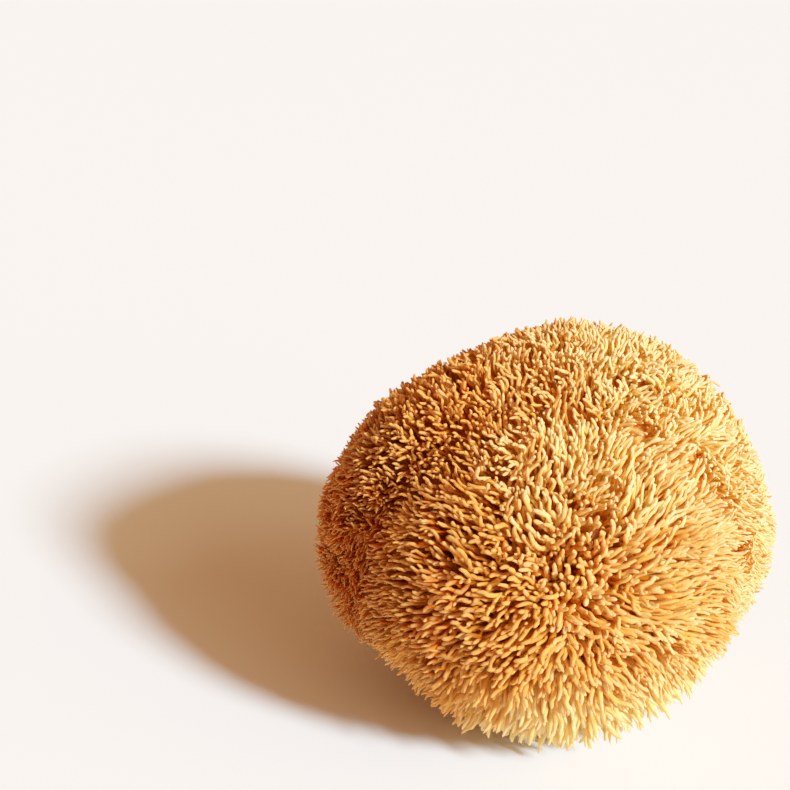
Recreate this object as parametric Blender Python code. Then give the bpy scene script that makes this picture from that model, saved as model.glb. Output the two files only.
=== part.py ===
"""A dried lion's mane mushroom: one fruiting body, resting on the flat face where it was cut.

A broad rear mass carries fine short spines. A smaller dome swells out of its front and
carries thicker, longer ones. The spines part from the crown, in the middle of the dome,
and lean away from it. Underneath is a short bare neck, cut off flat. Lengths are in metres,
+Z is up, and the crown faces -Y.
"""

import math

import bmesh
import bpy
import numpy as np

# Overall form, out to the tips of the spines
CENTRE_HEIGHT = 0.0337
REAR_RADII = (0.0425, 0.0330, 0.0389)
REAR_CENTRE = (0.0, 0.0040, 0.0015)
DOME_RADII = (0.0354, 0.0314, 0.0354)
DOME_CENTRE = (0.0, -0.0080, -0.0010)
CREASE_SOFTNESS = 0.0010

# Swellings and flats of the form: height, azimuth from the crown side, elevation, width in degrees
SWELLINGS = (
    (-0.0042, -132, 50, 26),
    (0.0030, -78, -22, 15),
    (-0.0021, 102, 22, 26),
    (-0.0003, -30, -40, 20),
    (0.0012, 60, 62, 14),
    (-0.0013, -105, 24, 14),
    (0.0011, -88, -2, 13),
    (0.0007, 92, -4, 11),
    (0.0010, 172, 12, 22),
    (-0.0014, 128, -30, 20),
)

# The crown, where the spines part
CROWN_AZIMUTH = 4.0
CROWN_ELEVATION = 24.0

# Spines
ROOT_COUNT = 560
CROWDING = 0.10
RELAX_STEPS = 40
PUSH = 0.25
LONGEST_STEP = 0.3
DOME_SPINE_LENGTH = 0.0082
REAR_SPINE_LENGTH = 0.0062
DOME_SPINE_RADIUS = 0.00128
REAR_SPINE_RADIUS = 0.00105
COLLAR_HEIGHT = 0.30
LEAN = 0.085
TIP_SCATTER = 0.026
BEND = 0.00025
LENGTH_SCATTER = 0.11
FLESH_SCATTER = 0.05
TIP_CLEARANCE = 0.0006

# The cut neck
NECK_SIDES = 18
NECK_RADIUS = 0.0132
NECK_TOP_RADIUS = 0.0128
NECK_TOP_HEIGHT = 0.0040
NECK_CENTRE_Y = 0.0010
NECK_WOBBLE = 0.035
CUT_ANGLE = 18.0
NECK_TOP_ANGLE = 23.0
CLEAR_ANGLE = 27.5

SEED = 27
NODE_NAME = "fruiting_body"


def unit(vectors):
    """Scale rows of vectors to length one."""
    return vectors / np.linalg.norm(vectors, axis=-1, keepdims=True)


def direction(azimuth, elevation):
    """Give the unit vector at an azimuth from -Y towards +X and an elevation, in degrees."""
    azimuth, elevation = math.radians(azimuth), math.radians(elevation)
    flat = math.cos(elevation)
    return np.array((math.sin(azimuth) * flat, -math.cos(azimuth) * flat, math.sin(elevation)))


def reach_of_ellipsoid(directions, centre, radii):
    """Give how far rays from the origin run before they leave an ellipsoid around it."""
    radii = np.array(radii)
    start = -np.array(centre) / radii
    rays = directions / radii
    a = (rays * rays).sum(axis=1)
    b = rays @ start
    c = start @ start - 1.0
    return (np.sqrt(b * b - a * c) - b) / a


def tip_reach(directions):
    """Give the distance from the centre to the spine tips, and how far each ray is dome."""
    rear = reach_of_ellipsoid(directions, REAR_CENTRE, REAR_RADII)
    dome = reach_of_ellipsoid(directions, DOME_CENTRE, DOME_RADII)
    apart = dome - rear
    reach = 0.5 * (rear + dome + np.sqrt(apart * apart + CREASE_SOFTNESS**2))
    for height, azimuth, elevation, width in SWELLINGS:
        nearness = directions @ direction(azimuth, elevation) - 1.0
        reach += height * np.exp(nearness / (1.0 - math.cos(math.radians(width))))
    dome_share = 1.0 / (1.0 + np.exp(-apart / (0.6 * CREASE_SOFTNESS)))
    return reach, dome_share


def scatter_roots(rng):
    """Spread points over the unit sphere, clear of the neck, and let them push apart."""
    down = np.array((0.0, 0.0, -1.0))
    points = unit(rng.normal(size=(ROOT_COUNT, 3)))
    clear = math.cos(math.radians(CLEAR_ANGLE))
    for _ in range(RELAX_STEPS):
        gaps = points[:, None, :] - points[None, :, :]
        squares = (gaps * gaps).sum(axis=2) + np.eye(len(points))
        room = 1.0 + CROWDING * tip_reach(points)[1]
        push = (gaps * (room**3)[None, :, None] / squares[:, :, None] ** 2).sum(axis=1)
        spacing = math.sqrt(4.0 * math.pi / ROOT_COUNT)
        move = push * spacing**4 * PUSH
        step = np.linalg.norm(move, axis=1, keepdims=True)
        points = unit(points + move * np.minimum(1.0, LONGEST_STEP * spacing / step))
        sunk = points @ down > clear
        sideways = unit(points[sunk] * (1.0, 1.0, 0.0))
        points[sunk] = sideways * math.sin(math.radians(CLEAR_ANGLE)) + down * clear
    return points


def ring_directions(angle, turn):
    """Give unit vectors around the neck, at an angle from straight down."""
    around = 2.0 * math.pi * (np.arange(NECK_SIDES) + turn) / NECK_SIDES
    sine = math.sin(math.radians(angle))
    cosine = math.cos(math.radians(angle))
    return np.stack((np.cos(around) * sine, np.sin(around) * sine, np.full(NECK_SIDES, -cosine)), axis=1)


def net_over(directions):
    """Join unit vectors into a closed net of triangles that face outwards."""
    net = bmesh.new()
    for vector in directions:
        net.verts.new(vector)
    net.verts.ensure_lookup_table()
    net.verts.index_update()
    bmesh.ops.convex_hull(net, input=net.verts[:])
    bmesh.ops.triangulate(net, faces=net.faces[:])
    triangles = []
    for face in net.faces:
        corners = [vert.index for vert in face.verts]
        a, b, c = directions[corners]
        if np.dot(np.cross(b - a, c - a), a + b + c) < 0.0:
            corners.reverse()
        triangles.append(corners)
    net.free()
    return triangles


def spine_points(corners, rng):
    """Give the collar and the tip of the spine that grows from a triangle of the flesh."""
    middle = corners.mean(axis=0)
    outward = unit(middle)
    dome_share = float(tip_reach(outward[None, :])[1][0])
    crown = direction(CROWN_AZIMUTH, CROWN_ELEVATION)
    away = outward - crown * float(outward @ crown)
    lean = LEAN * away * (0.6 + 0.8 * dome_share)
    aim = unit(outward + lean + rng.normal(size=3) * TIP_SCATTER)
    reach = float(tip_reach(aim[None, :])[0][0])
    length = REAR_SPINE_LENGTH + (DOME_SPINE_LENGTH - REAR_SPINE_LENGTH) * dome_share
    tip = aim * (reach - length * LENGTH_SCATTER * abs(rng.normal()))
    lowest = TIP_CLEARANCE - CENTRE_HEIGHT
    if tip[2] < lowest:
        tip = tip * (lowest / tip[2])
    axis = tip - middle
    collar_middle = middle + axis * COLLAR_HEIGHT + rng.normal(size=3) * BEND
    radius = REAR_SPINE_RADIUS + (DOME_SPINE_RADIUS - REAR_SPINE_RADIUS) * dome_share
    axis = unit(axis)
    to_corners = corners - middle
    to_corners -= (to_corners @ axis)[:, None] * axis
    collar = collar_middle + unit(to_corners) * radius
    return collar, tip


def shape_of_body():
    """Work out the vertices and faces of the whole fruiting body."""
    rng = np.random.RandomState(SEED)
    roots = scatter_roots(rng)
    cut_ring = ring_directions(CUT_ANGLE, 0.0)
    neck_ring = ring_directions(NECK_TOP_ANGLE, 0.5)
    directions = np.concatenate((roots, cut_ring, neck_ring))
    first_cut = len(roots)
    first_neck = first_cut + NECK_SIDES

    reach, dome_share = tip_reach(roots)
    length = REAR_SPINE_LENGTH + (DOME_SPINE_LENGTH - REAR_SPINE_LENGTH) * dome_share
    depth = length * (1.0 + rng.normal(size=len(roots)) * FLESH_SCATTER)
    flesh = roots * (reach - depth)[:, None]
    wobble = 1.0 + rng.normal(size=NECK_SIDES) * NECK_WOBBLE
    outward = unit(cut_ring * (1.0, 1.0, 0.0))
    cut = outward * (NECK_RADIUS * wobble)[:, None]
    cut += (0.0, NECK_CENTRE_Y, -CENTRE_HEIGHT)
    outward = unit(neck_ring * (1.0, 1.0, 0.0))
    neck = outward * NECK_TOP_RADIUS
    neck += (0.0, NECK_CENTRE_Y, NECK_TOP_HEIGHT - CENTRE_HEIGHT)

    points = list(np.concatenate((flesh, cut, neck)))
    faces = []
    for triangle in net_over(directions):
        if all(first_cut <= corner < first_neck for corner in triangle):
            continue
        if any(corner >= first_cut for corner in triangle):
            faces.append(triangle)
            continue
        corners = np.array([points[corner] for corner in triangle])
        collar, tip = spine_points(corners, rng)
        first = len(points)
        points.extend(collar)
        points.append(tip)
        for side in range(3):
            after = (side + 1) % 3
            faces.append([triangle[side], triangle[after], first + after])
            faces.append([triangle[side], first + after, first + side])
            faces.append([first + side, first + after, first + 3])
    faces.append([first_cut + side for side in reversed(range(NECK_SIDES))])

    points = np.array(points)
    middle = (points.min(axis=0) + points.max(axis=0)) / 2.0
    points -= (middle[0], middle[1], -CENTRE_HEIGHT)
    return points, faces


def flesh_material():
    """Make the dry golden flesh."""
    material = bpy.data.materials.new("dried_flesh")
    material.use_nodes = True
    shader = material.node_tree.nodes["Principled BSDF"]
    shader.inputs["Base Color"].default_value = (0.78, 0.46, 0.16, 1.0)
    shader.inputs["Roughness"].default_value = 0.62
    shader.inputs["Metallic"].default_value = 0.0
    material.diffuse_color = (0.78, 0.46, 0.16, 1.0)
    return material


def main():
    for thing in list(bpy.data.objects):
        bpy.data.objects.remove(thing, do_unlink=True)
    points, faces = shape_of_body()
    mesh = bpy.data.meshes.new(NODE_NAME)
    mesh.from_pydata(points.tolist(), [], faces)
    mesh.materials.append(flesh_material())
    body = bpy.data.objects.new(NODE_NAME, mesh)
    bpy.context.scene.collection.objects.link(body)


main()
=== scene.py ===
"""The looks of a dried lion's mane mushroom: flesh, a cut neck and thousands of fine spines."""

import math

import bpy
import numpy as np
from mathutils import Matrix, Vector, kdtree


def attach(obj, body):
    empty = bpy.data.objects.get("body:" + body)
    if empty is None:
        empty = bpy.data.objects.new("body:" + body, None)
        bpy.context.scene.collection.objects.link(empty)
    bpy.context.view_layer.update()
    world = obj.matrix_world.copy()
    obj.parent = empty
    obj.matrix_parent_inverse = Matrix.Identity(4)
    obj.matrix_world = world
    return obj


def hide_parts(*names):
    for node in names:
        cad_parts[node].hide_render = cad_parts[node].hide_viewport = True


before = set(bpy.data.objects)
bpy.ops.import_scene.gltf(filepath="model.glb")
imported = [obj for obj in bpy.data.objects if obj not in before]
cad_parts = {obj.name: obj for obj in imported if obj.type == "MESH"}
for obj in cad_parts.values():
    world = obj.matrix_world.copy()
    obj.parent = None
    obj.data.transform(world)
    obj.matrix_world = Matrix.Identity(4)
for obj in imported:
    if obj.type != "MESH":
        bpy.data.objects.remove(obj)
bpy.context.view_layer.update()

NODE = "fruiting_body"
SEED = 41
MM = 0.001
WHOLE_TURN = 2.0 * math.pi
DOWN = np.array((0.0, 0.0, -1.0))
FORWARD = np.array((0.0, -1.0, 0.0))

# Overall form out to the spine tips, as in the solid: everything here is in metres
CENTRE = np.array((0.000873, 0.000933, 0.0337))
REAR_RADII = (0.0425, 0.0330, 0.0389)
REAR_CENTRE = (0.0, 0.0040, 0.0015)
DOME_RADII = (0.0354, 0.0314, 0.0354)
DOME_CENTRE = (0.0, -0.0080, -0.0010)
CREASE_SOFTNESS = 0.0010

# Swellings and flats of the form: height, azimuth from the crown side, elevation, width in degrees
SWELLINGS = (
    (-0.0042, -132, 50, 26),
    (0.0030, -78, -22, 15),
    (-0.0021, 102, 22, 26),
    (-0.0003, -30, -40, 20),
    (0.0012, 60, 62, 14),
    (-0.0013, -105, 24, 14),
    (0.0011, -88, -2, 13),
    (0.0007, 92, -4, 11),
    (0.0010, 172, 12, 22),
    (-0.0014, 128, -30, 20),
)

# The crown, where the spines part
CROWN_AZIMUTH = 0.5
CROWN_ELEVATION = 12.5

# The cut neck
NECK_CENTRE = np.array((0.0009, 0.0019, 0.0))
NECK_RADIUS = 0.0130

# Measuring the form: the shortest length told from none, and the step and limit for its normals
TINY = 1e-12
NORMAL_STEP = 0.02
NEARLY_UPRIGHT = 0.9

# Random fields: how many waves make one, and how far their lengths spread
RIPPLE_WAVES = 28
RIPPLE_SPREAD = (0.7, 1.6)


def unit(vectors):
    """Scale rows of vectors to length one."""
    return vectors / np.maximum(np.linalg.norm(vectors, axis=-1, keepdims=True), TINY)


def direction(azimuth, elevation):
    """Give the unit vector at an azimuth from -Y towards +X and an elevation, in degrees."""
    azimuth, elevation = math.radians(azimuth), math.radians(elevation)
    flat = math.cos(elevation)
    return np.array((math.sin(azimuth) * flat, -math.cos(azimuth) * flat, math.sin(elevation)))


def reach_of_ellipsoid(directions, centre, radii):
    """Give how far rays from the origin run before they leave an ellipsoid around it."""
    radii = np.array(radii)
    start = -np.array(centre) / radii
    rays = directions / radii
    a = (rays * rays).sum(axis=1)
    b = rays @ start
    c = start @ start - 1.0
    return (np.sqrt(b * b - a * c) - b) / a


def tip_reach(directions):
    """Give the distance from the centre to the spine tips, and by how much dome beats rear."""
    rear = reach_of_ellipsoid(directions, REAR_CENTRE, REAR_RADII)
    dome = reach_of_ellipsoid(directions, DOME_CENTRE, DOME_RADII)
    apart = dome - rear
    reach = 0.5 * (rear + dome + np.sqrt(apart * apart + CREASE_SOFTNESS**2))
    for height, azimuth, elevation, width in SWELLINGS:
        nearness = directions @ direction(azimuth, elevation) - 1.0
        reach += height * np.exp(nearness / (1.0 - math.cos(math.radians(width))))
    return reach, apart


def normals_of_form(directions):
    """Give the outward normals of the form at these directions."""
    slanting = np.abs(directions[:, 2:3]) < NEARLY_UPRIGHT
    helper = np.where(slanting, (0.0, 0.0, 1.0), (1.0, 0.0, 0.0))
    first = unit(np.cross(directions, helper))
    second = np.cross(directions, first)
    sides = []
    for tangent in (first, second):
        ahead = unit(directions + tangent * NORMAL_STEP)
        behind = unit(directions - tangent * NORMAL_STEP)
        sides.append(ahead * tip_reach(ahead)[0][:, None] - behind * tip_reach(behind)[0][:, None])
    return unit(np.cross(sides[0], sides[1]))


def along_form(way, normals):
    """Give the part of one way that runs along the form."""
    return way - normals * (normals @ way)[:, None]


def smooth_step(low, high, values):
    """Rise smoothly from 0 at low to 1 at high."""
    share = np.clip((values - low) / (high - low), 0.0, 1.0)
    return share * share * (3.0 - 2.0 * share)


def hump(values, width):
    """Fall off smoothly on both sides from 1 at zero."""
    return np.exp(-((values / width) ** 2))


def between(pair, share):
    """Mix the two values of a pair."""
    return pair[0] + (pair[1] - pair[0]) * share


class Ripples:
    """A smooth random field made of many plane waves."""

    def __init__(self, rng, wavelength, channels):
        headings = unit(rng.normal(size=(RIPPLE_WAVES, 3)))
        lengths = wavelength * rng.uniform(*RIPPLE_SPREAD, size=RIPPLE_WAVES)
        self.waves = headings * (WHOLE_TURN / lengths)[:, None]
        self.phases = rng.uniform(0.0, WHOLE_TURN, size=(RIPPLE_WAVES, channels))
        self.scale = math.sqrt(2.0 / RIPPLE_WAVES)

    def __call__(self, points):
        angles = points @ self.waves.T
        return self.scale * np.sin(angles[:, :, None] + self.phases[None]).sum(axis=1)


# Zones of the form. A pair is where a change starts and where it is complete: how far across,
# back or up, as a share of one, except where metres or degrees from the crown are named
DOME_EDGE_METRES = (-0.0006, 0.0010)
HIGH_UP = (0.10, 0.75)
RIGHT_HALF = (0.0, 0.40)
BEHIND = (-0.1, 0.6)
UNDER_BULGE = (-0.02, -0.56)
FOOT_SIDES = (0.25, 0.65)
FOOT_SIDES_LOSS = 0.5
BRISTLES_LEFT = (0.0, -0.4)
BRISTLES_FRONT = (0.45, 0.05)
BRISTLES_BELOW = (0.60, 0.30)
CROWN_WIDTH_DEGREES = 17.0

# Steps by which the dome's spines grow slender: how much, and between which degrees from the crown
SLENDER_ON_LEFT = ((0.10, 20.0, 40.0), (0.72, 37.0, 54.0))
SLENDER_ON_RIGHT = ((0.56, 12.0, 42.0), (0.12, 44.0, 60.0))
SLENDER_ABOVE = ((0.42, 20.0, 55.0),)

# How coarse the rear's spines are: everywhere, more behind, more high up, and less where both meet
REAR_COARSE = 0.04
REAR_COARSE_BEHIND = 0.20
REAR_COARSE_HIGH = 0.50
REAR_HIGH_BEHIND_LOSS = 0.6


def slenderness(steps, from_crown):
    """Add up the steps by which spines grow slender away from the crown."""
    return sum(share * smooth_step(start, end, from_crown) for share, start, end in steps)


def zones(directions, apart):
    """Give how coarse the spines are, the share of dome, and the angle from the crown."""
    crown = direction(CROWN_AZIMUTH, CROWN_ELEVATION)
    from_crown = np.degrees(np.arccos(np.clip(directions @ crown, -1.0, 1.0)))
    on_dome = smooth_step(*DOME_EDGE_METRES, apart)
    high = smooth_step(*HIGH_UP, directions[:, 2])
    right = smooth_step(*RIGHT_HALF, directions[:, 0])
    on_left = slenderness(SLENDER_ON_LEFT, from_crown)
    on_right = slenderness(SLENDER_ON_RIGHT, from_crown)
    at_side = between((on_left, on_right), right)
    slender = between((at_side, slenderness(SLENDER_ABOVE, from_crown)), high)
    dome = 1.0 - slender * (1.0 - hanging(directions))
    behind = smooth_step(*BEHIND, directions[:, 1])
    rear = REAR_COARSE + REAR_COARSE_BEHIND * behind
    rear = rear + REAR_COARSE_HIGH * high * (1.0 - REAR_HIGH_BEHIND_LOSS * behind)
    return between((rear, dome), on_dome), on_dome, from_crown


def lowness(directions):
    """Give how far a place is under the bulge, where the spines point down."""
    return smooth_step(*UNDER_BULGE, directions[:, 2])


def hanging(directions):
    """Give how far a place is at the foot of the form, where the longest spines hang."""
    aside = smooth_step(*FOOT_SIDES, np.abs(directions[:, 0]))
    return lowness(directions) * (1.0 - FOOT_SIDES_LOSS * aside)


def bristles(directions, on_dome):
    """Give how far a place is in the band of the finest spines, beside the dome on the left."""
    across, back, up = directions.T
    beside = smooth_step(*BRISTLES_LEFT, across) * smooth_step(*BRISTLES_FRONT, back)
    return beside * (1.0 - on_dome) * smooth_step(*BRISTLES_BELOW, up)


def at_crown(from_crown):
    """Give how close a place is to the parting, where the spines are thicker and more open."""
    return hump(from_crown, CROWN_WIDTH_DEGREES)


# How pale the flesh and spines are: everywhere, more on the dome, and its change across and up. It
# is partly their own tone and partly painted light and shade: painted shade darkens the left, and
# painted light brightens the right, the top and the bottom
BASE_PALENESS = 0.25
DOME_PALENESS = 0.29
REAR_LEFT_TONE_AND_PAINTED_SHADE = 0.25
DOME_LEFT_TONE_AND_PAINTED_SHADE = 1.45
LEFT_RIM = (-0.60, -0.80)
LEFT_RIM_PALENESS = 0.65
RIGHT_TONE_AND_PAINTED_LIGHT = 0.95
RIGHT_TONE_AND_PAINTED_LIGHT_DOME_LOSS = 0.77
UP_DOWN_TONE_AND_PAINTED_LIGHT = 0.55
UNDER_DOME_TONE_AND_PAINTED_LIGHT = 0.27


def paleness_and_painted_light(directions, on_dome):
    """Give how pale the flesh is, partly its own tone and partly painted light and shade: paler at
    the right, the top and the bottom, where light is painted, and at the dome's left rim; darker at
    the left, where shade is painted.
    """
    # Darker to the left is partly painted shade, and paler to the right, up and down is partly
    # painted light
    to_left = np.minimum(directions[:, 0], 0.0)
    to_right = np.maximum(directions[:, 0], 0.0)
    left_slope = REAR_LEFT_TONE_AND_PAINTED_SHADE * (1.0 - on_dome) - DOME_LEFT_TONE_AND_PAINTED_SHADE * on_dome * to_left
    right_slope = RIGHT_TONE_AND_PAINTED_LIGHT - RIGHT_TONE_AND_PAINTED_LIGHT_DOME_LOSS * on_dome
    painted_light_and_paleness = BASE_PALENESS + DOME_PALENESS * on_dome + left_slope * to_left
    painted_light_and_paleness += LEFT_RIM_PALENESS * smooth_step(*LEFT_RIM, directions[:, 0]) * on_dome
    painted_light_and_paleness += right_slope * to_right + UP_DOWN_TONE_AND_PAINTED_LIGHT * directions[:, 2] ** 2
    return np.clip(painted_light_and_paleness + UNDER_DOME_TONE_AND_PAINTED_LIGHT * lowness(directions) * on_dome, 0.0, 1.0)


# Size of the spines. Each pair runs from where they are finest to where they are coarsest
SPACING = (0.75 * MM, 1.04 * MM)
RADIUS = (0.200 * MM, 0.41 * MM)
LENGTH = (6.4 * MM, 10.6 * MM)
WRIGGLE = (0.52, 0.88)
WAVELENGTH = (2.8 * MM, 4.1 * MM)

# Scattering the tips: how many places are tried, and where the spines stand open or close
CANDIDATES = 170000
PATCH_SIZE = 5.0 * MM
PATCH_OPENING = 0.10
FOOT_OPENING = 0.50
CROWN_OPENING = 0.12
BRISTLE_CLOSING = 0.31

# Which way spines lean: first the zones for it, written like those above, then how much
UPPER_PART = (0.25, 0.75)
SUNNY_SIDE = (0.10, 0.60)
BROW = (0.5, -0.2)
COMBED_DEGREES = (16.0, 42.0)
MATTED_SIDE = (-0.2, 0.7)
PARTING_WIDTH_DEGREES = 30.0
REAR_LEAN = 0.05
DOME_LEAN = 1.50
SUNNY_LEAN = 0.40
UPPER_LEAN_LOSS = 0.48
UPPER_SUNNY_LEAN = 0.20
PARTING_LEAN = 0.8
DROOP = 0.04
LOW_DROOP = 0.46
BROW_LEAN = 0.50
UPPER_COMBED_LOSS = 0.75
COMBED_ORDER = 0.62

# How far the roots take up the lean, and how far chance turns spines, alone and with neighbours
SWIRL_SIZE = 15.0 * MM
TUFT_SIZE = 6.0 * MM
STIR_SIZE = 2.6 * MM
SWIRL = 0.18
TUFT = 0.15
STIR = 0.14
LOOSE = 0.16
FOOT_LOOSE = 0.12
BASE_LEAN = 0.35
BASE_SCATTER = 0.12
REAR_DRIFT = 0.55
DOME_DRIFT = 0.45
SUNNY_DRIFT = 0.75
MATTED_DRIFT = 1.1
CROWN_DRIFT_LOSS = 0.65

# The curl towards the tip, and the wriggle that grows from near the root
CURL = 0.95
CURL_SPREAD = (0.15, 1.2)
LOW_CURL_LOSS = 0.65
MATTED_CURL = 0.8
HOOK_SIZE = 8.0 * MM
HOOK_SCATTER = 0.55
HOOK_RISE = 0.2
WRIGGLE_SPREAD = (0.35, 1.25)
LOW_WRIGGLE_LOSS = 0.68
SUNNY_WRIGGLE_LOSS = 0.3
WAVELENGTH_SPREAD = (0.75, 1.5)

# How the length, the thickness and the pointedness of the spines vary
LENGTH_SCATTER = 0.08
LOW_LENGTH = 0.30
RADIUS_SCATTER = 0.10
FOOT_RADIUS = 0.40
CROWN_RADIUS = 0.12
BRISTLE_RADIUS_LOSS = 0.26
POINTED_EVERYWHERE = 0.08
POINTED_LOW = 0.95
POINTED_SCATTER = 0.22

# How far the tips end inside the form. Insets, unevenness and depth are shares of the spine's
# length, and the crease's offset and width are in metres
LIFT_SIZE = 7.0 * MM
LIFT_LIMITS = (-1.0, 2.0)
INSET = 0.02
LOW_INSET = 0.05
INSET_SCATTER = 0.05
LIFT_INSET = 0.03
INSET_LIMITS = (-0.10, 0.3)
CREASE_INSET = 0.18
CREASE_OFFSET = 0.0017
CREASE_WIDTH = 0.0012
CREASE_LEFT = (0.1, -0.4)
BRISTLE_UNEVEN = 0.16
LOW_UNEVEN = 0.16
STUNTED_SHARE = 0.18
STUNTED_DEPTH = (0.10, 0.28)
CROWN_STUNTED_LOSS = 0.7

# Room at the floor and beside the neck, and how much of its length a spine has to rise
FLOOR_GAP = 0.35 * MM
FLOOR_SCATTER = 1.5 * MM
LOWEST_SURFACE = 0.5 * FLOOR_GAP
NECK_GAP = 2.0 * MM
ABOVE_NECK = 0.02
LEAST_RISE = 0.46

# How far paleness varies from patch to patch and from spine to spine
LIFT_PALENESS = 0.06
PALENESS_SCATTER = 0.06


def scatter_tips(rng):
    """Spread spine tips over the form, further apart where the spines are coarse."""
    directions = unit(rng.normal(size=(CANDIDATES, 3)))
    reach, apart = tip_reach(directions)
    coarse, on_dome, from_crown = zones(directions, apart)
    patchiness = Ripples(rng, PATCH_SIZE, 1)
    points = directions * reach[:, None]
    spacing = between(SPACING, coarse) * (1.0 + PATCH_OPENING * patchiness(points)[:, 0])
    spacing *= 1.0 + FOOT_OPENING * hanging(directions) + CROWN_OPENING * at_crown(from_crown)
    spacing *= 1.0 - BRISTLE_CLOSING * bristles(directions, on_dome)
    tree = kdtree.KDTree(CANDIDATES)
    for index, point in enumerate(points):
        tree.insert(point, index)
    tree.balance()
    free = bytearray(b"\x01" * CANDIDATES)
    chosen = []
    for index in range(CANDIDATES):
        if free[index]:
            chosen.append(index)
            for _, near, _ in tree.find_range(points[index], spacing[index]):
                free[near] = 0
    return directions[chosen]


class Spines:
    """The course, thickness and colouring of every spine."""

    def __init__(self, rng):
        directions = scatter_tips(rng)
        reach, apart = tip_reach(directions)
        coarse, on_dome, from_crown = zones(directions, apart)
        normals = normals_of_form(directions)
        surface = CENTRE + directions * reach[:, None]
        count = len(directions)
        across, back, up = directions.T
        low = lowness(directions)
        foot = hanging(directions)
        bristly = bristles(directions, on_dome)
        near_crown = at_crown(from_crown)
        upper = smooth_step(*UPPER_PART, up)
        sunny = smooth_step(*SUNNY_SIDE, across)
        matted = smooth_step(*MATTED_SIDE, across) * (1.0 - on_dome)

        crown = direction(CROWN_AZIMUTH, CROWN_ELEVATION)
        away = directions - crown * (directions @ crown)[:, None]
        away -= normals * (away * normals).sum(axis=1)[:, None]
        lean = REAR_LEAN + (DOME_LEAN + SUNNY_LEAN * sunny) * on_dome
        lean = lean * (1.0 - (UPPER_LEAN_LOSS - UPPER_SUNNY_LEAN * sunny) * upper)
        lean *= 1.0 + PARTING_LEAN * hump(from_crown, PARTING_WIDTH_DEGREES)
        brow = (1.0 - on_dome) * smooth_step(*BROW, back) * (1.0 - upper)
        combed = lean[:, None] * away
        combed = combed + (DROOP + LOW_DROOP * low)[:, None] * along_form(DOWN, normals)
        brow_lean = (BROW_LEAN * brow * (1.0 - sunny))[:, None]
        combed = combed + brow_lean * along_form(FORWARD, normals)
        order = on_dome * smooth_step(*COMBED_DEGREES, from_crown)
        order = order * (1.0 - UPPER_COMBED_LOSS * upper)
        unruly = 1.0 - COMBED_ORDER * order

        swirl = Ripples(rng, SWIRL_SIZE, 3)(surface)
        tufts = Ripples(rng, TUFT_SIZE, 3)(surface)
        stir = Ripples(rng, STIR_SIZE, 3)(surface)
        loose = LOOSE * unruly + FOOT_LOOSE * foot
        base_way = normals + BASE_LEAN * combed + rng.normal(size=(count, 3)) * BASE_SCATTER
        self.base_way = unit(base_way)
        drift = REAR_DRIFT + (DOME_DRIFT + SUNNY_DRIFT * sunny) * on_dome + MATTED_DRIFT * matted
        drift = (1.0 - CROWN_DRIFT_LOSS * near_crown) * drift
        drifting = (SWIRL * swirl + TUFT * tufts) * drift[:, None]
        tip_way = normals + combed + drifting + STIR * stir * unruly[:, None]
        self.tip_way = unit(tip_way + rng.normal(size=(count, 3)) * loose[:, None])

        hook = Ripples(rng, HOOK_SIZE, 3)(surface)
        hook = hook + rng.normal(size=(count, 3)) * HOOK_SCATTER + combed
        hook -= normals * ((hook * normals).sum(axis=1) - HOOK_RISE)[:, None]
        curl = CURL * rng.uniform(*CURL_SPREAD, size=count) * (1.0 - LOW_CURL_LOSS * low)
        curl *= unruly * (1.0 + MATTED_CURL * matted)
        self.hook = unit(hook) * curl[:, None]
        self.wriggle = between(WRIGGLE, coarse) * rng.uniform(*WRIGGLE_SPREAD, size=count)
        self.wriggle *= (1.0 - LOW_WRIGGLE_LOSS * low) * (1.0 - SUNNY_WRIGGLE_LOSS * sunny)
        self.phase = rng.uniform(0.0, WHOLE_TURN, size=count)

        lift = Ripples(rng, LIFT_SIZE, 1)(surface)[:, 0]
        self.length = between(LENGTH, coarse) * (1.0 + LENGTH_SCATTER * rng.normal(size=count))
        self.length *= 1.0 + LOW_LENGTH * low
        wavelength = between(WAVELENGTH, coarse) * rng.uniform(*WAVELENGTH_SPREAD, size=count)
        self.turns = self.length / wavelength

        inset = INSET + LOW_INSET * low + INSET_SCATTER * rng.normal(size=count)
        inset = inset + LIFT_INSET * np.clip(lift, *LIFT_LIMITS)
        crease = hump(apart + CREASE_OFFSET, CREASE_WIDTH) * smooth_step(*CREASE_LEFT, across)
        stunted_share = STUNTED_SHARE * (1.0 - low) * (1.0 - CROWN_STUNTED_LOSS * near_crown)
        stunted = rng.uniform(size=count) < stunted_share
        uneven = (BRISTLE_UNEVEN * bristly + LOW_UNEVEN * low) * rng.uniform(size=count)
        inset = np.clip(inset, *INSET_LIMITS) + CREASE_INSET * crease + uneven
        inset += stunted * rng.uniform(*STUNTED_DEPTH, size=count)
        tips = surface - normals * (inset * self.length)[:, None]
        lowest = FLOOR_GAP + rng.uniform(0.0, FLOOR_SCATTER, size=count)
        tips[:, 2] = np.maximum(tips[:, 2], lowest)
        beside_neck = np.linalg.norm((tips - NECK_CENTRE)[:, :2], axis=1)
        self.grows = (beside_neck > NECK_RADIUS + NECK_GAP) | (tips[:, 2] > ABOVE_NECK)

        self.radius = between(RADIUS, coarse) * (1.0 + RADIUS_SCATTER * rng.normal(size=count))
        self.radius *= 1.0 + FOOT_RADIUS * foot + CROWN_RADIUS * near_crown
        self.radius *= 1.0 - BRISTLE_RADIUS_LOSS * bristly
        point = POINTED_EVERYWHERE + POINTED_LOW * low + POINTED_SCATTER * rng.normal(size=count)
        self.point = np.clip(point, 0.0, 1.0)
        self.tint = rng.uniform(0.0, 1.0, size=count)
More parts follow.
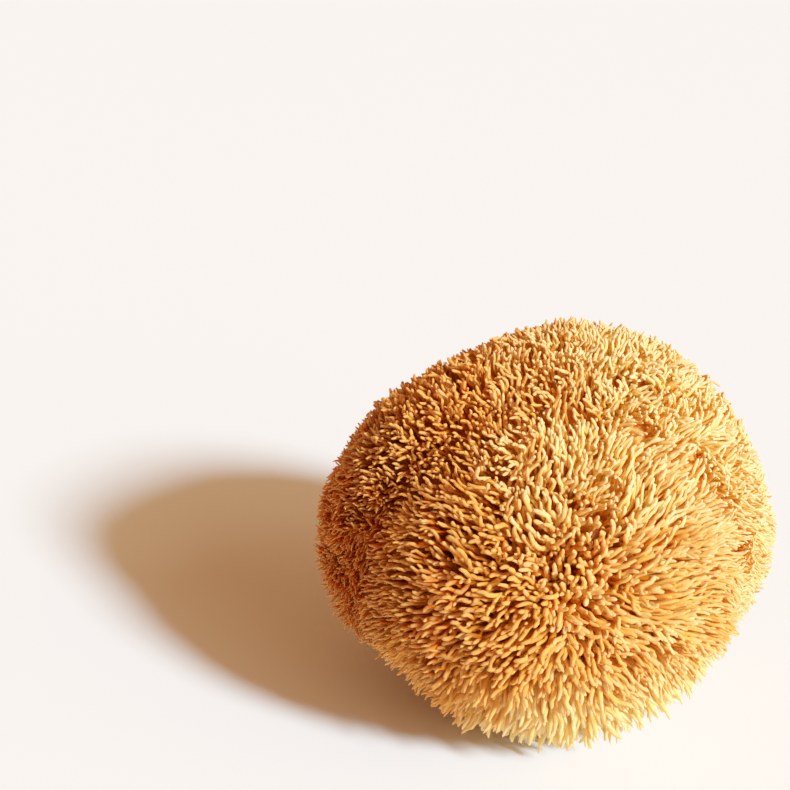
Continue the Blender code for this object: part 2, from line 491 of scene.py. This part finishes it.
        # Paleness: partly the spines' own tone and partly painted light and shade, with patchy and
        # random changes
        pale_and_painted_light = paleness_and_painted_light(directions, on_dome) + LIFT_PALENESS * lift
        pale_and_painted_light = pale_and_painted_light + PALENESS_SCATTER * rng.normal(size=count)
        self.pale_and_painted_light = np.clip(pale_and_painted_light, 0.0, 1.0)

        self.tips = tips
        self.normals = normals
        self.coarse = coarse
        self.from_crown = from_crown
        self.directions = directions


# The stations along a spine, its thickness there if it ends blunt or in a point, and how oval it is
COARSE_STATIONS = np.array((0.0, 0.38, 0.54, 0.67, 0.78, 0.88, 0.95, 0.985))
FINE_STATIONS = np.array((0.0, 0.44, 0.64, 0.79, 0.90, 0.975))
PROFILE_AT = np.array((0.0, 0.40, 0.60, 0.75, 0.87, 0.945, 0.98, 1.0))
BLUNT = np.array((1.10, 1.00, 1.00, 1.00, 1.00, 0.93, 0.68, 0.0))
POINTED = np.array((1.25, 1.12, 1.02, 0.88, 0.66, 0.44, 0.26, 0.0))
OVALNESS = 0.12

# How a spine is followed: its steps, where it starts to wriggle and to hook, and how
COURSE_STEPS = 41
WRIGGLE_RISE = 2.5
WRIGGLE_DELAY = 0.5
CROSS_WRIGGLE = 0.8
CROSS_PACE = 1.13
HOOK_START = 0.45
HOOK_SHARPNESS = 1.4

# Each spine's own strip of the unwrapped surface: its margin, and how much taller than wide it is
STRIP_MARGIN = 0.08
STRIP_TALLNESS = 2.2


def courses(spines, picked, along):
    """Follow the picked spines from root to tip, and give those that stand, with their way."""
    t = np.linspace(0.0, 1.0, COURSE_STEPS)[None, :, None]
    base_way = spines.base_way[picked][:, None, :]
    tip_way = spines.tip_way[picked][:, None, :]
    hook = spines.hook[picked][:, None, :]
    side = unit(np.cross(spines.tip_way[picked], spines.hook[picked]))[:, None, :]
    other = np.cross(side, tip_way)
    angle = WHOLE_TURN * spines.turns[picked][:, None, None] * t
    angle = angle + spines.phase[picked][:, None, None]
    started = np.clip(WRIGGLE_RISE * t - WRIGGLE_DELAY, 0.0, 1.0)
    wriggle = spines.wriggle[picked][:, None, None] * started
    turning = np.clip((t - HOOK_START) / (1.0 - HOOK_START), 0.0, 1.0) ** HOOK_SHARPNESS
    heading = base_way * (1.0 - t) + tip_way * t + hook * turning
    swing = np.cos(angle) * side + CROSS_WRIGGLE * np.sin(CROSS_PACE * angle) * other
    heading = unit(heading + wriggle * swing)
    steps = 0.5 * (heading[:, 1:] + heading[:, :-1]) / (COURSE_STEPS - 1)
    course = np.concatenate((np.zeros_like(steps[:, :1]), np.cumsum(steps, axis=1)), axis=1)
    course *= spines.length[picked][:, None, None]
    normals = spines.normals[picked]
    height = (course * normals[:, None, :]).sum(axis=2).max(axis=1)
    end = course[:, -1, :]
    end = end + normals * (height - (end * normals).sum(axis=1))[:, None]
    course += (spines.tips[picked] - end)[:, None, :]
    standing = height > LEAST_RISE * spines.length[picked]
    place = along * (COURSE_STEPS - 1)
    before = np.minimum(place.astype(int), COURSE_STEPS - 2)
    share = (place - before)[None, :, None]
    points = course[:, before] * (1.0 - share) + course[:, before + 1] * share
    tangents = unit(heading[:, before] * (1.0 - share) + heading[:, before + 1] * share)
    return picked[standing], points[standing], tangents[standing], side[standing]


def tube_faces(along, sides):
    """Give the triangles of one closed-tipped tube, with the place of each corner on its strip."""
    rings = len(along) - 1
    faces = []
    places = []
    for level in range(rings - 1):
        low, high = along[level], along[level + 1]
        for side in range(sides):
            after = (side + 1) % sides
            near, far = level * sides + side, level * sides + after
            left, right = side / sides, (side + 1) / sides
            faces += [(near, far, far + sides), (near, far + sides, near + sides)]
            places += [((left, low), (right, low), (right, high))]
            places += [((left, low), (right, high), (left, high))]
    last = (rings - 1) * sides
    for side in range(sides):
        left, right = side / sides, (side + 1) / sides
        faces.append((last + side, last + (side + 1) % sides, rings * sides))
        places.append(((left, along[-2]), (right, along[-2]), ((left + right) / 2.0, 1.0)))
    return np.array(faces), np.array(places)


def add_mesh(name, points, faces, uv):
    """Put a smooth mesh into the scene."""
    mesh = bpy.data.meshes.new(name)
    mesh.from_pydata(points, [], faces)
    mesh.shade_smooth()
    layer = mesh.uv_layers.new(name="OFBake")
    layer.data.foreach_set("uv", np.asarray(uv, dtype=np.float32).ravel())
    thing = bpy.data.objects.new(name, mesh)
    bpy.context.scene.collection.objects.link(thing)
    return thing


def add_values(thing, name, data):
    """Give every vertex a value that the material can read."""
    attribute = thing.data.attributes.new(name, "FLOAT", "POINT")
    attribute.data.foreach_set("value", data.astype(np.float32))


def grow(name, spines, picked, stations, sides):
    """Make one joined mesh of the picked spines, as thin closed-tipped tubes."""
    along = np.append(stations, 1.0)
    picked, course, tangents, side = courses(spines, np.flatnonzero(picked), along)
    count = len(picked)
    first = unit(side - tangents * (tangents * side).sum(axis=2, keepdims=True))
    second = np.cross(tangents, first)

    blunt = np.interp(stations, PROFILE_AT, BLUNT)
    pointed = np.interp(stations, PROFILE_AT, POINTED)
    profile = between((blunt, pointed), spines.point[picked][:, None])
    thickness = spines.radius[picked][:, None] * profile
    around = WHOLE_TURN * np.arange(sides) / sides
    flat = 1.0 + OVALNESS * np.cos(2.0 * around[None, :] + spines.phase[picked][:, None])
    ring = np.cos(around)[None, None, :, None] * first[:, :-1, None, :]
    ring = ring + np.sin(around)[None, None, :, None] * second[:, :-1, None, :]
    ring = ring * (thickness[:, :, None] * flat[:, None, :])[:, :, :, None]
    ring = ring + course[:, :-1, None, :]
    per_spine = len(stations) * sides + 1
    points = np.concatenate((ring.reshape(count, per_spine - 1, 3), course[:, -1:, :]), axis=1)
    points[:, :, 2] = np.maximum(points[:, :, 2], LOWEST_SURFACE)

    faces, places = tube_faces(along, sides)
    all_faces = (faces[None] + (np.arange(count) * per_spine)[:, None, None]).reshape(-1, 3)
    columns = math.ceil(math.sqrt(STRIP_TALLNESS * count))
    rows = math.ceil(count / columns)
    cell = np.stack((np.arange(count) % columns, np.arange(count) // columns), axis=1)
    inside = STRIP_MARGIN + (1.0 - 2.0 * STRIP_MARGIN) * places
    uv = (cell[:, None, None, :] + inside[None]) / (columns, rows)
    thing = add_mesh(name, points.reshape(-1, 3), all_faces, uv)

    add_values(thing, "along", np.tile(np.append(np.repeat(stations, sides), 1.0), count))
    add_values(thing, "tint", np.repeat(spines.tint[picked], per_spine))
    add_values(thing, "pale_and_painted_light", np.repeat(spines.pale_and_painted_light[picked], per_spine))
    return thing


# The flesh under the spines: points around a ring, number of rings, and where the rings start
# and end, in degrees from straight down
FLESH_TURNS = 96
FLESH_STEPS = 66
FLESH_START = 25.0
FLESH_END = 179.0

# The rings of the neck, outwards over the cut and then up: radius and height in millimetres
NECK_RINGS = (
    (4.0, 0.0),
    (8.0, 0.0),
    (11.0, 0.0),
    (12.6, 0.0),
    (13.0, 0.35),
    (12.9, 1.6),
    (12.7, 3.0),
)
NECK_PALENESS = 0.5

# Unevenness of the neck: how strong the waves are, how many go around, and where the first starts
NECK_WAVE = 0.03
NECK_WAVES = 3.0
NECK_WAVE_TURN = 0.8
NECK_RIPPLE = 0.02
NECK_RIPPLES = 7.0

# How deep the flesh lies, as a share of the spine length, where the spines are open and matted
FLESH_DEPTH = (0.76, 0.64)
FLESH_MATTED_SIDE = (0.05, 0.5)
FLESH_MATTED_DEGREES = (18.0, 42.0)
FLESH_CROWN_DEPTH = 0.18
FLESH_BUMP_SIZE = 3.0 * MM
FLESH_BUMP = 0.25 * MM

# Painted shade: how much darker the flesh is painted where it lies in deep shade, at the crown and
# under the foot
CROWN_SHADE = 0.55
FOOT_SHADE = 0.45


def flesh_rings(rng):
    """Give the rings of the flesh from the cut to the top, and how pale each is, with its painted
    light and shade.
    """
    around = WHOLE_TURN * np.arange(FLESH_TURNS) / FLESH_TURNS
    flat = np.stack((np.cos(around), np.sin(around), np.zeros(FLESH_TURNS)), axis=1)
    bumps = Ripples(rng, FLESH_BUMP_SIZE, 1)
    wobble = 1.0 + NECK_WAVE * np.sin(NECK_WAVES * around + NECK_WAVE_TURN)
    wobble = wobble + NECK_RIPPLE * np.sin(NECK_RIPPLES * around)
    rows = []
    painted_light_and_paleness = []
    for radius, height in NECK_RINGS:
        row = NECK_CENTRE + flat * (radius * MM * wobble)[:, None]
        row[:, 2] = height * MM
        rows.append(row)
        painted_light_and_paleness.append(np.full(FLESH_TURNS, NECK_PALENESS))
    for angle in np.radians(np.linspace(FLESH_START, FLESH_END, FLESH_STEPS)):
        directions = flat * math.sin(angle) + DOWN * math.cos(angle)
        reach, apart = tip_reach(directions)
        coarse, on_dome, from_crown = zones(directions, apart)
        matted = smooth_step(*FLESH_MATTED_SIDE, directions[:, 0])
        matted = matted * smooth_step(*FLESH_MATTED_DEGREES, from_crown)
        depth = between(FLESH_DEPTH, matted) * between(LENGTH, coarse)
        depth *= 1.0 + FLESH_CROWN_DEPTH * at_crown(from_crown)
        points = directions * (reach - depth)[:, None]
        points += directions * (FLESH_BUMP * bumps(points))
        rows.append(CENTRE + points)
        # Painted shade: the flesh is painted darker at the crown and under the foot
        shaded = CROWN_SHADE * at_crown(from_crown) + FOOT_SHADE * hanging(directions)
        painted_light_and_paleness.append(np.maximum(paleness_and_painted_light(directions, on_dome) - shaded, 0.0))
    return rows, painted_light_and_paleness


def grow_flesh(rng):
    """Make the closed body of flesh, with its neck and its flat cut."""
    rows, painted_light_and_paleness = flesh_rings(rng)
    top = rows[-1].mean(axis=0)
    points = np.concatenate((*rows, [NECK_CENTRE], [top]))
    cut_middle = len(points) - 2
    faces = []
    uv = []
    levels = len(rows)
    for turn in range(FLESH_TURNS):
        after = (turn + 1) % FLESH_TURNS
        left, right = turn / FLESH_TURNS, (turn + 1) / FLESH_TURNS
        middle = (left + right) / 2.0
        faces.append((cut_middle, after, turn))
        uv += [(middle, 0.0), (right, 1.0 / (levels + 1)), (left, 1.0 / (levels + 1))]
        for level in range(levels - 1):
            low = level * FLESH_TURNS
            high = low + FLESH_TURNS
            below, above = (level + 1) / (levels + 1), (level + 2) / (levels + 1)
            faces.append((low + turn, low + after, high + after, high + turn))
            uv += [(left, below), (right, below), (right, above), (left, above)]
        last = (levels - 1) * FLESH_TURNS
        below = levels / (levels + 1)
        faces.append((last + turn, last + after, cut_middle + 1))
        uv += [(left, below), (right, below), (middle, 1.0)]
    thing = add_mesh("flesh", points, faces, uv)
    add_values(thing, "pale_and_painted_light", np.concatenate((*painted_light_and_paleness, (NECK_PALENESS, NECK_PALENESS))))
    return thing


class Nodes:
    """A small helper for laying out a material's nodes."""

    def __init__(self, name):
        self.material = bpy.data.materials.new(name)
        self.material.use_nodes = True
        self.tree = self.material.node_tree
        self.shader = self.tree.nodes["Principled BSDF"]

    def add(self, kind, **settings):
        node = self.tree.nodes.new(kind)
        for key, value in settings.items():
            setattr(node, key, value)
        return node

    def fill(self, socket, value):
        if isinstance(value, tuple):
            socket.default_value = (*value, 1.0)
        elif isinstance(value, (int, float)):
            socket.default_value = value
        else:
            self.tree.links.new(value, socket)

    def attribute(self, name):
        return self.add("ShaderNodeAttribute", attribute_name=name).outputs["Fac"]

    def math(self, operation, first, second):
        node = self.add("ShaderNodeMath", operation=operation)
        self.fill(node.inputs[0], first)
        self.fill(node.inputs[1], second)
        return node.outputs[0]

    def mix(self, factor, first, second, blend="MIX"):
        node = self.add("ShaderNodeMix", data_type="RGBA", blend_type=blend)
        self.fill(node.inputs[0], factor)
        self.fill(node.inputs[6], first)
        self.fill(node.inputs[7], second)
        return node.outputs[2]

    def ramp(self, value, low, high, top=1.0):
        node = self.add("ShaderNodeMapRange", interpolation_type="SMOOTHSTEP")
        self.fill(node.inputs["Value"], value)
        self.fill(node.inputs["From Min"], low)
        self.fill(node.inputs["From Max"], high)
        self.fill(node.inputs["To Max"], top)
        return node.outputs["Result"]

    def noise(self, scale, detail=3.0):
        node = self.add("ShaderNodeTexNoise")
        self.fill(node.inputs["Vector"], self.add("ShaderNodeTexCoord").outputs["Object"])
        self.fill(node.inputs["Scale"], scale)
        self.fill(node.inputs["Detail"], detail)
        return node.outputs["Fac"]

    def stain(self, colour, value, step, stain):
        return self.mix(self.ramp(value, *step), colour, stain, "MULTIPLY")

    def bump(self, height, strength, distance):
        node = self.add("ShaderNodeBump")
        self.fill(node.inputs["Strength"], strength)
        self.fill(node.inputs["Distance"], distance)
        self.fill(node.inputs["Height"], height)
        self.fill(self.shader.inputs["Normal"], node.outputs["Normal"])


# Colours of the spines as linear light, from the darkest, where shade is partly painted, to the
# palest, where light is partly painted, and their stains
WARM_ROOT = (0.500, 0.060, 0.002)
PALE_ROOT = (0.960, 0.340, 0.015)
RUSSET_BODY = (0.640, 0.138, 0.003)
WARM_BODY = (0.385, 0.091, 0.003)
GOLD_BODY = (0.735, 0.302, 0.041)
PALE_BODY = (0.985, 0.655, 0.185)
WARM_TIP = (0.850, 0.435, 0.130)
GOLD_TIP = (0.870, 0.368, 0.094)
PALE_TIP = (0.920, 0.700, 0.350)
RUST = (0.900, 0.720, 0.560)
DRIFT_STAIN = (0.92, 0.72, 0.54)
GRAIN_STAIN = (0.74, 0.54, 0.36)

# How pale a spine is, with its painted light and shade, where one colour gives way to the next
TO_WARM = (0.02, 0.16)
TO_GOLD = (0.14, 0.56)
TO_PALE = (0.46, 1.08)

# Where along a spine its darker root ends, which is partly painted shade deep between the spines,
# where its tip starts, and how far blotches move both
ROOT_TO_BODY = (0.14, 0.58)
BODY_TO_TIP = (0.68, 1.02, 0.80)
BLOTCH_MIDDLE = 0.5
BLOTCH_REACH = 0.36

# Where the stains start and are complete, and how strong they are
RUST_STEP = (0.60, 1.0, 0.70)
DRIFT_STEP = (0.50, 0.70, 0.20)
GRAIN_STEP = (0.35, 0.75, 0.20)

# Noise on the spines: how many features to a metre, and its detail
BLOTCHES_PER_METRE = 420.0
GRAIN_PER_METRE = 2600.0
GRAIN_DETAIL = 4.0
DRIFT_PER_METRE = 95.0
DRIFT_DETAIL = 2.0

# The surface of the spines
SPINE_ROUGHNESS = 0.52
GRAIN_ROUGHNESS = 0.25
SPINE_SPECULAR = 0.06
SPINE_SUBSURFACE = 0.45
SUBSURFACE_RADIUS = (1.0, 0.90, 0.75)
SUBSURFACE_DEPTH = 0.25 * MM
SPINE_BUMP = 0.35
SPINE_BUMP_DEPTH = 0.12 * MM


def spine_material():
    """Make dry spines: deep in colour at the root, partly as painted shade deep between them, and
    paler through the body to the tip, with painted light and shade across the form.
    """
    nodes = Nodes("dry_spines")
    along = nodes.attribute("along")
    tint = nodes.attribute("tint")
    pale_and_painted_light = nodes.attribute("pale_and_painted_light")
    blotches = nodes.noise(BLOTCHES_PER_METRE)
    grain = nodes.noise(GRAIN_PER_METRE, GRAIN_DETAIL)
    drift = nodes.noise(DRIFT_PER_METRE, DRIFT_DETAIL)

    root = nodes.mix(pale_and_painted_light, WARM_ROOT, PALE_ROOT)
    golden = nodes.ramp(pale_and_painted_light, *TO_GOLD)
    faded = nodes.ramp(pale_and_painted_light, *TO_PALE)
    body = nodes.mix(nodes.ramp(pale_and_painted_light, *TO_WARM), RUSSET_BODY, WARM_BODY)
    body = nodes.mix(faded, nodes.mix(golden, body, GOLD_BODY), PALE_BODY)
    tip = nodes.mix(faded, nodes.mix(golden, WARM_TIP, GOLD_TIP), PALE_TIP)
    body = nodes.stain(body, tint, RUST_STEP, RUST)
    uneven = nodes.math("MULTIPLY", nodes.math("SUBTRACT", blotches, BLOTCH_MIDDLE), BLOTCH_REACH)
    reached = nodes.math("ADD", along, uneven)
    # The darker root is partly the spine's own colour and partly painted shade deep between the
    # spines
    colour = nodes.mix(nodes.ramp(reached, *ROOT_TO_BODY), root, body)
    colour = nodes.mix(nodes.ramp(reached, *BODY_TO_TIP), colour, tip)
    colour = nodes.stain(colour, drift, DRIFT_STEP, DRIFT_STAIN)
    colour = nodes.stain(colour, grain, GRAIN_STEP, GRAIN_STAIN)
    nodes.fill(nodes.shader.inputs["Base Color"], colour)
    rough = nodes.math("ADD", nodes.math("MULTIPLY", grain, GRAIN_ROUGHNESS), SPINE_ROUGHNESS)
    nodes.fill(nodes.shader.inputs["Roughness"], rough)
    nodes.shader.inputs["Specular IOR Level"].default_value = SPINE_SPECULAR
    nodes.shader.inputs["Subsurface Weight"].default_value = SPINE_SUBSURFACE
    nodes.shader.inputs["Subsurface Radius"].default_value = SUBSURFACE_RADIUS
    nodes.shader.inputs["Subsurface Scale"].default_value = SUBSURFACE_DEPTH
    nodes.bump(grain, SPINE_BUMP, SPINE_BUMP_DEPTH)
    return nodes.material


# The flesh and the cut: pairs of colours that noise mixes, as linear light, and their surface. The
# flesh runs from warm to pale with its paleness, which holds painted light and shade
WARM_FLESH = ((0.200, 0.022, 0.002), (0.320, 0.048, 0.004))
PALE_FLESH = ((0.800, 0.300, 0.040), (0.880, 0.400, 0.075))
CUT_FLESH = ((0.520, 0.300, 0.120), (0.880, 0.700, 0.430))
CUT_FADES = (2.5 * MM, 0.3 * MM)
MOTTLE_PER_METRE = 500.0
PORES_PER_METRE = 2200.0
PORES_DETAIL = 4.0
FLESH_ROUGHNESS = 0.8
PORE_BUMP = 0.6
PORE_DEPTH = 0.3 * MM


def flesh_material():
    """Make the matted flesh between the roots, darker where shade is painted and paler where light
    is painted, and the paler pores of the cut.
    """
    nodes = Nodes("dry_flesh")
    mottle = nodes.noise(MOTTLE_PER_METRE)
    pores = nodes.noise(PORES_PER_METRE, PORES_DETAIL)
    split = nodes.add("ShaderNodeSeparateXYZ")
    nodes.fill(split.inputs[0], nodes.add("ShaderNodeTexCoord").outputs["Object"])
    near_cut = nodes.ramp(split.outputs["Z"], *CUT_FADES)
    warm = nodes.mix(mottle, *WARM_FLESH)
    pale = nodes.mix(mottle, *PALE_FLESH)
    # Warm flesh where shade is painted and pale flesh where light is painted, partly its own tone
    flesh = nodes.mix(nodes.attribute("pale_and_painted_light"), warm, pale)
    cut = nodes.mix(pores, *CUT_FLESH)
    nodes.fill(nodes.shader.inputs["Base Color"], nodes.mix(near_cut, flesh, cut))
    nodes.shader.inputs["Roughness"].default_value = FLESH_ROUGHNESS
    nodes.bump(pores, PORE_BUMP, PORE_DEPTH)
    return nodes.material


# The floor: a plain pale top with faint clouds of tone
FLOOR_WIDTH = 24.0
FLOOR_TONES = ((0.878, 0.938, 0.978), (0.892, 0.952, 0.990))
CLOUDS_PER_METRE = 3.0
CLOUD_DETAIL = 2.0
FLOOR_ROUGHNESS = 0.7
FLOOR_SPECULAR = 0.1


def floor_material():
    """Make a plain pale tabletop."""
    nodes = Nodes("pale_top")
    cloud = nodes.noise(CLOUDS_PER_METRE, CLOUD_DETAIL)
    nodes.fill(nodes.shader.inputs["Base Color"], nodes.mix(cloud, *FLOOR_TONES))
    nodes.shader.inputs["Roughness"].default_value = FLOOR_ROUGHNESS
    nodes.shader.inputs["Specular IOR Level"].default_value = FLOOR_SPECULAR
    return nodes.material


# How the spines are shared out among the pieces, and how many sides the tubes of each have
COARSE_FROM = 0.45
CORE_DEGREES = 40.0
TOP_FROM = 0.55
UNDER_FROM = -0.50
BACK_FROM = 0.5
COARSE_SIDES = 6
FINE_SIDES = 5
HIDDEN_SIDES = 4


def share_out(spines):
    """Give each piece's name, which spines it has, and the sides and stations of its tubes."""
    x, y, z = spines.directions.T
    coarse = spines.coarse > COARSE_FROM
    core = coarse & (spines.from_crown < CORE_DEGREES)
    cheek = coarse & ~core
    top = ~coarse & (z > TOP_FROM)
    under = ~coarse & (z < UNDER_FROM)
    around = ~coarse & ~top & ~under
    beside = around & (y < BACK_FROM)
    return (
        ("crown_spines", core, COARSE_SIDES, COARSE_STATIONS),
        ("left_cheek_spines", cheek & (x < 0.0), COARSE_SIDES, COARSE_STATIONS),
        ("right_cheek_spines", cheek & (x >= 0.0), COARSE_SIDES, COARSE_STATIONS),
        ("top_spines", top, FINE_SIDES, FINE_STATIONS),
        ("under_spines", under, HIDDEN_SIDES, FINE_STATIONS),
        ("left_spines", beside & (x < 0.0), FINE_SIDES, FINE_STATIONS),
        ("right_spines", beside & (x >= 0.0), FINE_SIDES, FINE_STATIONS),
        ("back_spines", around & (y >= BACK_FROM), HIDDEN_SIDES, FINE_STATIONS),
    )


def dress():
    """Grow the flesh and the spines, and stand them in for the solid."""
    rng = np.random.RandomState(SEED)
    spines = Spines(rng)
    flesh = grow_flesh(rng)
    flesh.data.materials.append(flesh_material())
    material = spine_material()
    pieces = [flesh]
    for name, picked, sides, stations in share_out(spines):
        piece = grow(name, spines, picked & spines.grows, stations, sides)
        piece.data.materials.append(material)
        pieces.append(piece)
    for piece in pieces:
        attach(piece, "root")
        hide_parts(NODE)


# The camera, set to match the photograph: a long lens looking down, off to the left
CAMERA_PLACE = (-0.02755, -0.29143, 0.21885)
CAMERA_TILT = 28.0
LENS = 85.0
NEAREST_SEEN = 0.01
FARTHEST_SEEN = 60.0

# Light: a slightly blue key from the front right, and a wide warm light beside it
KEY_AZIMUTH = 50.0
KEY_ELEVATION = 33.0
KEY_SPREAD = 9.0
KEY_STRENGTH = 4.06
KEY_COLOUR = (0.875, 0.945, 0.975)
FRONT_AZIMUTH = 58.0
FRONT_ELEVATION = 20.0
FRONT_SPREAD = 60.0
FRONT_STRENGTH = 1.15
FRONT_COLOUR = (1.00, 0.80, 0.48)

# The warm glow from all around, at level and below and then straight up, and the backdrop
LOW_GLOW = (0.226, 0.084, 0.029, 1.0)
HIGH_GLOW = (0.344, 0.152, 0.064, 1.0)
BACKDROP_COLOUR = (0.905, 0.869, 0.835, 1.0)

# The tone curve: how much it lifts the mid tones, and where the curve is set out
TONE_LIFT = 1.0
TONE_STEPS = (0.03, 0.08, 0.16, 0.28, 0.42, 0.58, 0.78)


def add_light(name, azimuth, elevation, spread, strength, colour):
    """Add a far light that shines on the mushroom from this side."""
    light = bpy.data.objects.new(name, bpy.data.lights.new(name, "SUN"))
    bpy.context.scene.collection.objects.link(light)
    light.data.energy = strength
    light.data.color = colour
    light.data.angle = math.radians(spread)
    place = Vector(direction(azimuth, elevation))
    light.location = place
    light.rotation_euler = place.to_track_quat("Z", "Y").to_euler()


def add_surroundings():
    """Add a warm glow from all around, and a plain backdrop that only the camera sees."""
    world = bpy.data.worlds.new("surroundings")
    world.use_nodes = True
    bpy.context.scene.world = world
    tree = world.node_tree
    fill = tree.nodes["Background"]
    place = tree.nodes.new("ShaderNodeTexCoord")
    split = tree.nodes.new("ShaderNodeSeparateXYZ")
    glow = tree.nodes.new("ShaderNodeMix")
    glow.data_type = "RGBA"
    glow.inputs[6].default_value = LOW_GLOW
    glow.inputs[7].default_value = HIGH_GLOW
    tree.links.new(place.outputs["Generated"], split.inputs[0])
    tree.links.new(split.outputs["Z"], glow.inputs[0])
    tree.links.new(glow.outputs[2], fill.inputs["Color"])
    backdrop = tree.nodes.new("ShaderNodeBackground")
    backdrop.inputs["Color"].default_value = BACKDROP_COLOUR
    seen = tree.nodes.new("ShaderNodeLightPath")
    choose = tree.nodes.new("ShaderNodeMixShader")
    tree.links.new(seen.outputs["Is Camera Ray"], choose.inputs[0])
    tree.links.new(fill.outputs[0], choose.inputs[1])
    tree.links.new(backdrop.outputs[0], choose.inputs[2])
    tree.links.new(choose.outputs[0], tree.nodes["World Output"].inputs["Surface"])


def set_the_stage():
    """Lay the floor, and set the camera, the lights and the glow from all around."""
    bpy.ops.mesh.primitive_plane_add(size=FLOOR_WIDTH)
    floor = bpy.context.object
    floor.name = "pale_floor"
    floor.data.materials.append(floor_material())

    camera = bpy.data.objects.new("camera", bpy.data.cameras.new("camera"))
    bpy.context.scene.collection.objects.link(camera)
    camera.data.lens = LENS
    camera.data.clip_start = NEAREST_SEEN
    camera.data.clip_end = FARTHEST_SEEN
    tilt = math.radians(CAMERA_TILT)
    turn = Vector((0.0, math.cos(tilt), -math.sin(tilt))).to_track_quat("-Z", "Y")
    camera.matrix_world = Matrix.Translation(CAMERA_PLACE) @ turn.to_matrix().to_4x4()
    bpy.context.scene.camera = camera

    add_light("key", KEY_AZIMUTH, KEY_ELEVATION, KEY_SPREAD, KEY_STRENGTH, KEY_COLOUR)
    add_light("front", FRONT_AZIMUTH, FRONT_ELEVATION, FRONT_SPREAD, FRONT_STRENGTH, FRONT_COLOUR)
    add_surroundings()


def set_the_tone_curve():
    """Lift the mid tones and round off the highlights, as a camera does."""
    view = bpy.context.scene.view_settings
    view.view_transform = "Standard"
    view.use_curve_mapping = True
    view.curve_mapping.initialize()
    curve = view.curve_mapping.curves[3]
    for light in TONE_STEPS:
        curve.points.new(light, light * (1.0 + TONE_LIFT) / (1.0 + TONE_LIFT * light))
    view.curve_mapping.update()


set_the_stage()
set_the_tone_curve()
dress()
